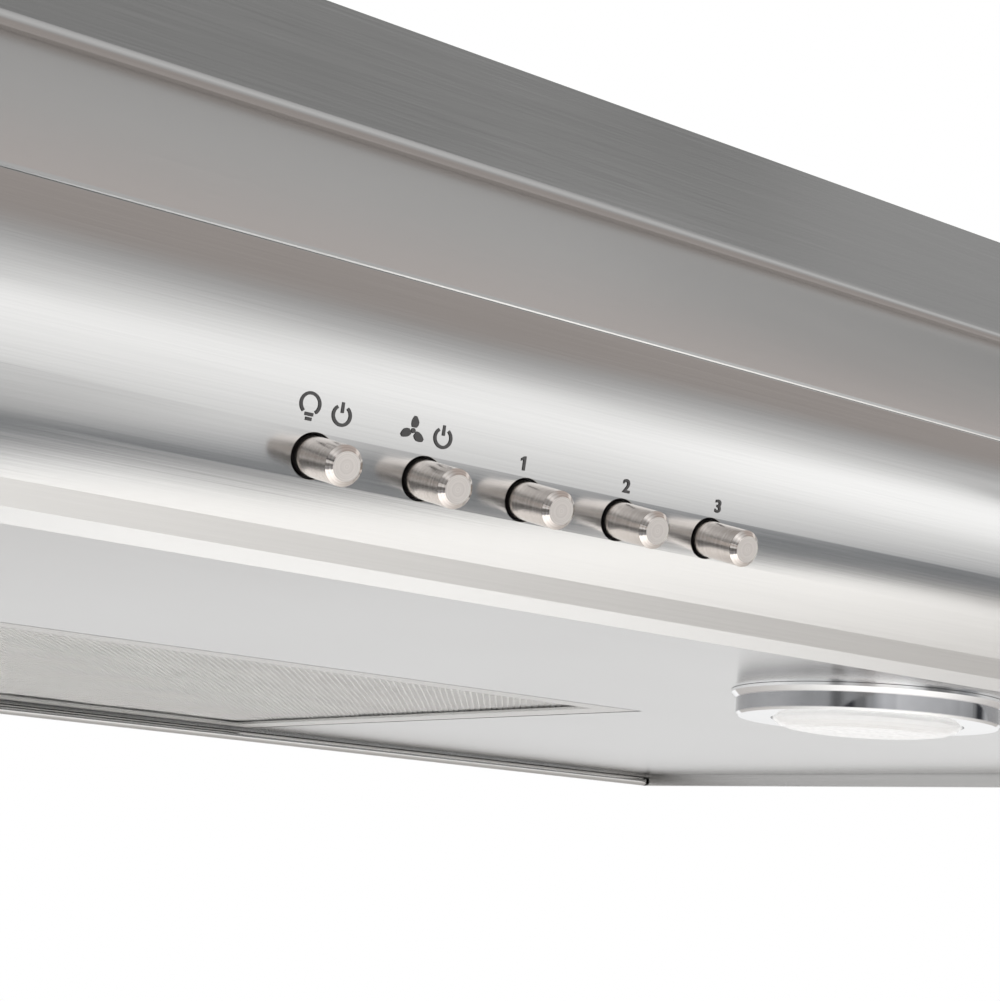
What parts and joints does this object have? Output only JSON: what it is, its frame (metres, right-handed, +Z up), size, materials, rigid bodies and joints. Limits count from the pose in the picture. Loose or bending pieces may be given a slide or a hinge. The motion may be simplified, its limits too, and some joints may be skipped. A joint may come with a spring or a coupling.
{
  "type": "under cabinet range hood",
  "caption": "Under cabinet range hood with a rounded stainless front, push buttons, sloped shoulder, round lamps, a hinged mesh filter, an internal blower and a top duct collar.",
  "frame": {"origin": "centre of the four cabinet screw holes, on the upper face of the top panel", "axes": "+X to the right seen from the front, +Y from the front towards the wall, +Z up; the controls face -Y"},
  "size_m": [0.914, 0.5134, 0.2686],
  "materials": {
    "steel_body": "fine horizontal brushing",
    "steel_polished": "bright satin",
    "zinc_sheet": "galvanised sheet",
    "motor_paint": "satin",
    "shaft_steel": "bright zinc",
    "white_plastic": "matt",
    "black_plastic": "matt",
    "button_steel": "turned face",
    "chrome": "mirror",
    "lens_glass": "frosted",
    "bulb_glass": "frosted",
    "filter_aluminium": "satin",
    "mesh_aluminium": "expanded mesh",
    "wire_plastic": "semi-matt"
  },
  "bodies": {
    "hood": {"top_panel": "steel_body", "rear_panel": "steel_body", "side_panel_left": "steel_body", "side_panel_right": "steel_body", "riser_panel": "steel_body", "shoulder_panel": "steel_body", "front_fascia": "steel_body", "underside_tray": "steel_polished", "duct_collar": "zinc_sheet", "scroll_wrap": "zinc_sheet", "scroll_end_left": "zinc_sheet", "scroll_end_right": "zinc_sheet", "inlet_rings": "zinc_sheet", "motor_body": "motor_paint", "motor_bracket": "zinc_sheet", "motor_capacitor": "white_plastic", "capacitor_strap": "zinc_sheet", "button_guide": "black_plastic", "switch_body": "black_plastic", "switch_bracket": "zinc_sheet", "lamp_ring_left": "chrome", "lamp_ring_right": "chrome", "lamp_lens_left": "lens_glass", "lamp_lens_right": "lens_glass", "lamp_bulb_left": "bulb_glass", "lamp_bulb_right": "bulb_glass", "lamp_housing_left": "zinc_sheet", "lamp_housing_right": "zinc_sheet", "filter_catches": "shaft_steel", "junction_box": "zinc_sheet", "junction_cover": "zinc_sheet", "terminal_block": "white_plastic", "cable_gland": "black_plastic", "wire_motor": "wire_plastic", "wire_switch": "wire_plastic", "wire_lamps": "wire_plastic", "duct_screws": "shaft_steel", "scroll_screws": "shaft_steel", "switch_screws": "shaft_steel", "cover_screws": "shaft_steel"},
    "damper": {"damper_flap": "zinc_sheet"},
    "rotor": {"motor_shaft": "shaft_steel", "blower_wheel_left": "zinc_sheet", "blower_wheel_right": "zinc_sheet"},
    "filter": {"filter_frame": "filter_aluminium", "filter_mesh": "mesh_aluminium", "filter_pivots": "shaft_steel"},
    "press_light": {"button_light": "button_steel"},
    "press_fan": {"button_fan": "button_steel"},
    "press_speed_1": {"button_speed_1": "button_steel"},
    "press_speed_2": {"button_speed_2": "button_steel"},
    "press_speed_3": {"button_speed_3": "button_steel"}
  },
  "joints": [
    {"name": "filter_hinge", "type": "hinge", "parent": "hood", "child": "filter", "pos_m": [0, 0.14, -0.2246], "axis": [1, 0, 0], "range_deg": [0, 75]},
    {"name": "damper_hinge", "type": "hinge", "parent": "hood", "child": "damper", "pos_m": [0, 0.12875, 0.006], "axis": [-1, 0, 0], "range_deg": [0, 75]},
    {"name": "rotor_spin", "type": "hinge", "parent": "hood", "child": "rotor", "pos_m": [0, 0.0405, -0.115], "axis": [1, 0, 0], "continuous": true},
    {"name": "press_light", "type": "slide", "parent": "hood", "child": "press_light", "axis": [0, 0.9613, 0.2756], "range_m": [0, 0.0025], "stiffness_N_per_m": 600, "springref_m": -0.0008},
    {"name": "press_fan", "type": "slide", "parent": "hood", "child": "press_fan", "axis": [0, 0.9613, 0.2756], "range_m": [0, 0.0025], "stiffness_N_per_m": 600, "springref_m": -0.0008},
    {"name": "press_speed_1", "type": "slide", "parent": "hood", "child": "press_speed_1", "axis": [0, 0.9613, 0.2756], "range_m": [0, 0.0025], "stiffness_N_per_m": 600, "springref_m": -0.0008},
    {"name": "press_speed_2", "type": "slide", "parent": "hood", "child": "press_speed_2", "axis": [0, 0.9613, 0.2756], "range_m": [0, 0.0025], "stiffness_N_per_m": 600, "springref_m": -0.0008},
    {"name": "press_speed_3", "type": "slide", "parent": "hood", "child": "press_speed_3", "axis": [0, 0.9613, 0.2756], "range_m": [0, 0.0025], "stiffness_N_per_m": 600, "springref_m": -0.0008}
  ]
}
